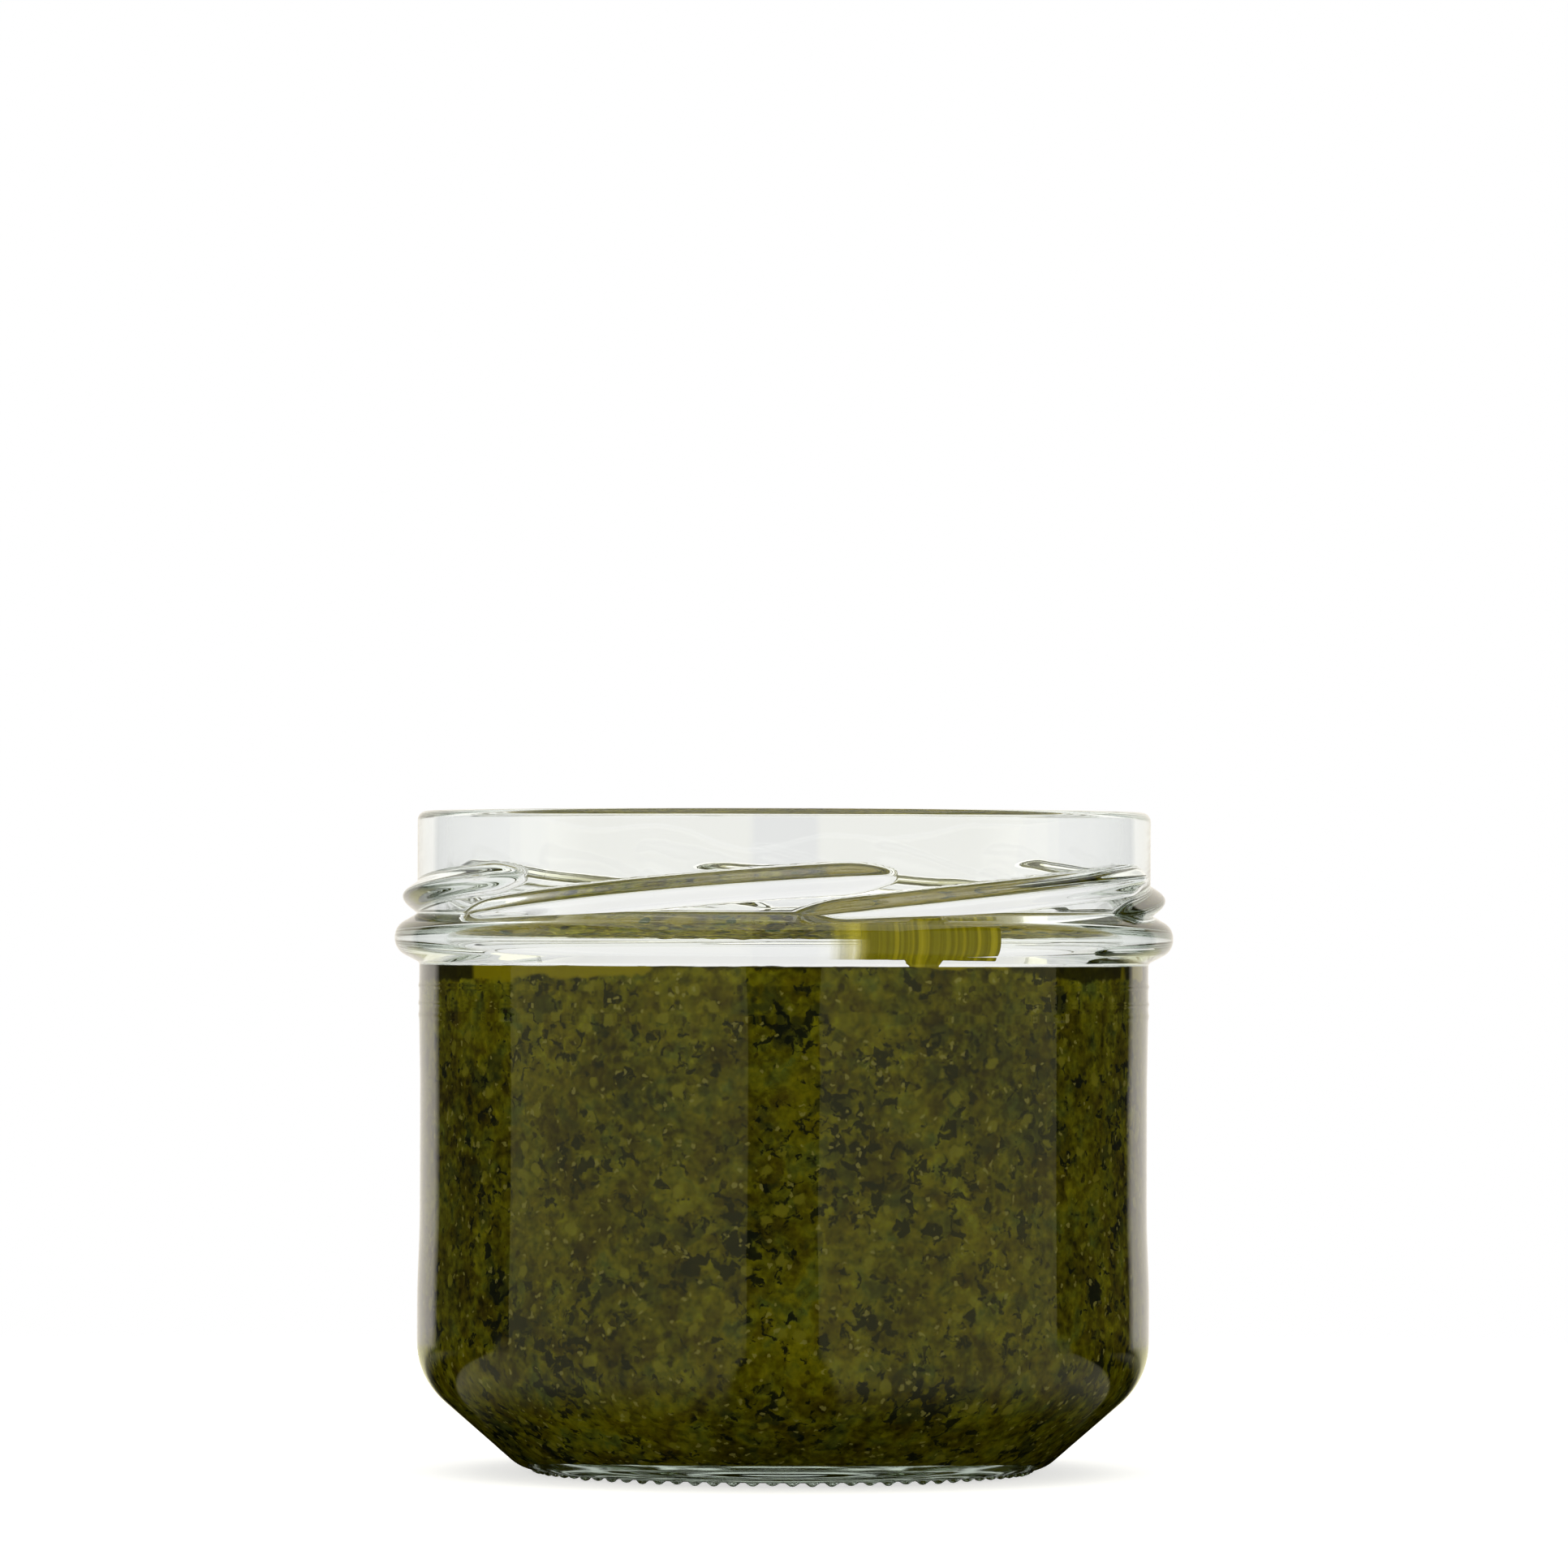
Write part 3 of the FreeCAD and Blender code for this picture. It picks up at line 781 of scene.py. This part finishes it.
# ---------------------------------------------------------------- oil
def slab_faces(rows, columns):
    """Faces of a thin closed slab: an outer sheet of points, then an inner one, each rows by columns."""
    sheet = rows * columns
    faces = []
    for row in range(rows - 1):
        for column in range(columns - 1):
            a = row * columns + column
            faces.append((a, a + 1, a + columns + 1, a + columns))
            faces.append((a + sheet, a + sheet + columns, a + sheet + columns + 1, a + sheet + 1))
    for column in range(columns - 1):
        a, b = column, (rows - 1) * columns + column
        faces.append((a, a + sheet, a + sheet + 1, a + 1))
        faces.append((b, b + 1, b + sheet + 1, b + sheet))
    for row in range(rows - 1):
        a, b = row * columns, row * columns + columns - 1
        faces.append((a, a + columns, a + columns + sheet, a + sheet))
        faces.append((b, b + sheet, b + columns + sheet, b + columns))
    return faces


def make_oil():
    """Oil left on the glass above the paste: a level smear, and one run through it down to the paste."""
    degrees = np.linspace(OIL_START, OIL_END, OIL_COLUMNS)
    angles = np.radians(degrees)
    rng = np.random.default_rng(12)
    uneven = rng.uniform(-OIL_RAGGED, OIL_RAGGED, 24)
    ragged = np.interp(degrees, np.linspace(OIL_START, OIL_END, 24), uneven) * MM
    run = smooth_step(np.clip((RUN_HALF_WIDTH - np.abs(degrees - RUN_MIDDLE)) / RUN_SHOULDER, 0, 1))
    smear_foot = OIL_FOOT + ragged
    smear_top = OIL_TOP + ragged
    foot = smear_foot + (RUN_FOOT - smear_foot) * run
    top = smear_top + (RUN_TOP - smear_top) * run
    verts = []
    for radius in (BORE_RADIUS + WALL_OVERLAP / 2, BORE_RADIUS - OIL_THICKNESS):
        for share in np.linspace(0, 1, OIL_ROWS):
            level = foot + (top - foot) * share
            verts += list(zip(radius * np.sin(angles), -radius * np.cos(angles), level))
    verts = [tuple(map(float, v)) for v in verts]
    return add_mesh("oil_run", verts, slab_faces(OIL_ROWS, OIL_COLUMNS), [oil_material()])


# ---------------------------------------------------------------- studio
CAMERA_DISTANCE = 1.0
CAMERA_HEIGHT = JAR_HEIGHT - 10.8 * MM
CAMERA_ROLL = math.radians(-0.15)
SENSOR_WIDTH = 36             # mm
VIEW_WIDTH = 170.518 * MM     # what the frame spans at the jar's axis
VIEW_RISE = 13.857 * MM       # how far above its own height the camera aims, at the jar's axis

SIDE_SOFTBOX_ANGLE = math.radians(52.5)
SIDE_SOFTBOX_SPAN = math.radians(41.5)      # half of the angle that one fills, seen from the jar
SIDE_SOFTBOX_DISTANCE = 0.9
SIDE_SOFTBOX_HEIGHT = 1.8
SIDE_SOFTBOX_RADIANCE = 0.48
SIDE_SOFTBOX_TINT = (1.0, 0.95, 0.5)
TOP_SOFTBOX_PLACE = (0, -0.1, 1.1)
TOP_SOFTBOX_SIZE = (1.3, 1.3)
TOP_SOFTBOX_RADIANCE = 1.3
TOP_SOFTBOX_TINT = (1.0, 0.96, 0.8)

ROOM_LIGHT = 0.8              # the world's strength for light that the paste and the floor scatter
MIRRORED_TINT = (1.0, 0.94, 0.84, 1.0)

# Floor: a pale disc that fades out into the white surround
FLOOR_FADE = 0.16
FLOOR_RADIUS = 0.34
FLOOR_GREY = (0.55, 0.55, 0.55, 1.0)
FLOOR_GLOW = 0.62
FLOOR_GLOW_ON_PASTE = 0.3     # the floor's glow for light that the paste scatters
# floor seen only in the glass: the tint, and the strength of the painted pool of softbox light in front
FLOOR_MIRRORED_TINT = (1, 0.95, 0.6, 1)
FLOOR_PAINTED_LIGHT_FRONT = 0.42


def make_camera():
    data = bpy.data.cameras.new("camera")
    data.sensor_width = SENSOR_WIDTH
    data.lens = SENSOR_WIDTH * CAMERA_DISTANCE / VIEW_WIDTH
    data.clip_start = 0.05
    data.clip_end = 50
    camera = bpy.data.objects.new("camera", data)
    camera.location = (0, -CAMERA_DISTANCE, CAMERA_HEIGHT)
    rise = math.atan(VIEW_RISE / CAMERA_DISTANCE)
    camera.rotation_euler = (math.pi / 2 + rise, CAMERA_ROLL, 0)
    bpy.context.scene.collection.objects.link(camera)
    bpy.context.scene.camera = camera


def area_light(name, place, size, radiance, tint):
    """A softbox that faces the middle of the jar and that the camera doesn't see."""
    data = bpy.data.lights.new(name, "AREA")
    data.shape = "RECTANGLE"
    data.size, data.size_y = size
    data.energy = radiance * math.pi * size[0] * size[1]
    data.color = tint
    lamp = bpy.data.objects.new(name, data)
    lamp.location = place
    direction = Vector((0, 0, JAR_HEIGHT / 2)) - Vector(place)
    lamp.rotation_euler = direction.to_track_quat("-Z", "Y").to_euler()
    lamp.visible_camera = False
    bpy.context.scene.collection.objects.link(lamp)


def make_lights():
    width = 2 * SIDE_SOFTBOX_DISTANCE * math.tan(SIDE_SOFTBOX_SPAN)
    for name, side in (("softbox_left", -1), ("softbox_right", 1)):
        place = (side * SIDE_SOFTBOX_DISTANCE * math.sin(SIDE_SOFTBOX_ANGLE),
                 -SIDE_SOFTBOX_DISTANCE * math.cos(SIDE_SOFTBOX_ANGLE),
                 JAR_HEIGHT / 2)
        area_light(name, place, (width, SIDE_SOFTBOX_HEIGHT), SIDE_SOFTBOX_RADIANCE, SIDE_SOFTBOX_TINT)
    area_light("softbox_top", TOP_SOFTBOX_PLACE, TOP_SOFTBOX_SIZE, TOP_SOFTBOX_RADIANCE, TOP_SOFTBOX_TINT)


def make_world():
    n = Nodes(bpy.data.worlds.new("studio"))
    bpy.context.scene.world = n.owner
    light = n.add("ShaderNodeLightPath").outputs
    direction = n.xyz(n.add("ShaderNodeTexCoord").outputs["Generated"])
    # mirrored in the glass: white behind the jar, near black elsewhere
    rear = n.between(direction[1], 0.76, 0.82, 0.02, 1.0)
    # seen through the glass: pale, but dim on the camera's side from just below the horizon up
    level = n.between(direction[2], -0.13, -0.06, 0.95, 0.12)
    front = n.between(direction[1], -0.35, 0.0, level, 0.95)
    mirror = n.add("ShaderNodeMath", {0: light["Is Glossy Ray"], 1: light["Is Transmission Ray"]},
                   operation="SUBTRACT", use_clamp=True).outputs[0]
    through = n.choose(light["Is Transmission Ray"], 1.0, front)
    glass = n.choose(mirror, through, rear)
    # light that the paste and the floor scatter comes from a plain bright room
    scattered = n.math("GREATER_THAN", light["Diffuse Depth"], 0.5)
    strength = n.choose(scattered, glass, ROOM_LIGHT)
    tint = n.mix(mirror, WHITE, MIRRORED_TINT)
    background = n.add("ShaderNodeBackground", {"Color": tint, "Strength": strength})
    n.add("ShaderNodeOutputWorld", {0: background.outputs[0]})


def floor_paint():
    """Pale matt floor that shows white to the camera and keeps the jar's shadow; to the glass it shows
    painted light and a painted shadow.
    """
    n = new_material("studio_floor")
    light = n.add("ShaderNodeLightPath").outputs
    matt = n.add("ShaderNodeBsdfDiffuse", {"Color": FLOOR_GREY})
    scattered = n.math("GREATER_THAN", light["Diffuse Depth"], 0.5)
    strength = n.choose(scattered, FLOOR_GLOW, FLOOR_GLOW_ON_PASTE)
    glow = n.add("ShaderNodeEmission", {"Color": WHITE, "Strength": strength})
    both = n.add("ShaderNodeAddShader", {0: matt.outputs[0], 1: glow.outputs[0]})
    # only mirrored in the glass, and painted: a painted shadow under the jar, a painted pool of the side
    # softboxes' light in front, white behind
    place = n.xyz(n.position())
    far = n.length(n.position())
    from_front = n.math("ABSOLUTE", n.math("ARCTAN2", place[0], n.math("MULTIPLY", place[1], -1.0)))
    # painted pool of the side softboxes' light, left dark near the axis as the jar's painted shadow
    painted_light_pool = n.math("MULTIPLY", n.rise(from_front, 0.17, 0.21), n.rise(far, 0.034, 0.056))
    painted_light_pool = n.math("MULTIPLY", painted_light_pool, n.fall(from_front, 1.62, 1.68))
    painted_light_pool = n.math("MULTIPLY", painted_light_pool, FLOOR_PAINTED_LIGHT_FRONT)
    straight = n.rise(n.math("DIVIDE", place[1], far), 0.6, 0.85)
    near_jar = n.math("MULTIPLY", n.fall(far, 0.05, 0.2), 0.5)
    back = n.math("MULTIPLY", n.rise(place[1], 0.03, 0.09), n.math("MAXIMUM", straight, near_jar))
    mirrored = n.add("ShaderNodeEmission",
                     {"Color": FLOOR_MIRRORED_TINT, "Strength": n.math("MAXIMUM", painted_light_pool, back)})
    mirror = n.math("SUBTRACT", light["Is Glossy Ray"], light["Is Transmission Ray"])
    mirror = n.math("MAXIMUM", mirror, 0.0)
    seen = n.shaders(mirror, both, mirrored)
    fade = n.rise(far, FLOOR_FADE, FLOOR_RADIUS)
    clear = n.add("ShaderNodeBsdfTransparent")
    return n.surface(n.shaders(fade, seen, clear))


def make_floor():
    half = FLOOR_RADIUS
    corners = [(-half, -half, 0), (half, -half, 0), (half, half, 0), (-half, half, 0)]
    floor = add_mesh("floor", corners, [(0, 1, 2, 3)], [floor_paint()])


make_camera()
make_lights()
make_world()
make_floor()
jar = make_jar()
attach(jar, "root")
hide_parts("jar_glass")
pesto = make_pesto()
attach(pesto, "root")
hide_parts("pesto")
crumbs = make_crumbs()
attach(crumbs, "root")
oil = make_oil()
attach(oil, "root")
bpy.context.scene.view_settings.view_transform = "Standard"
# light that runs along inside the glass floor meets its faces more often than the usual limits allow
bpy.context.scene.cycles.max_bounces = 32
bpy.context.scene.cycles.glossy_bounces = 24
bpy.context.scene.cycles.transmission_bounces = 32
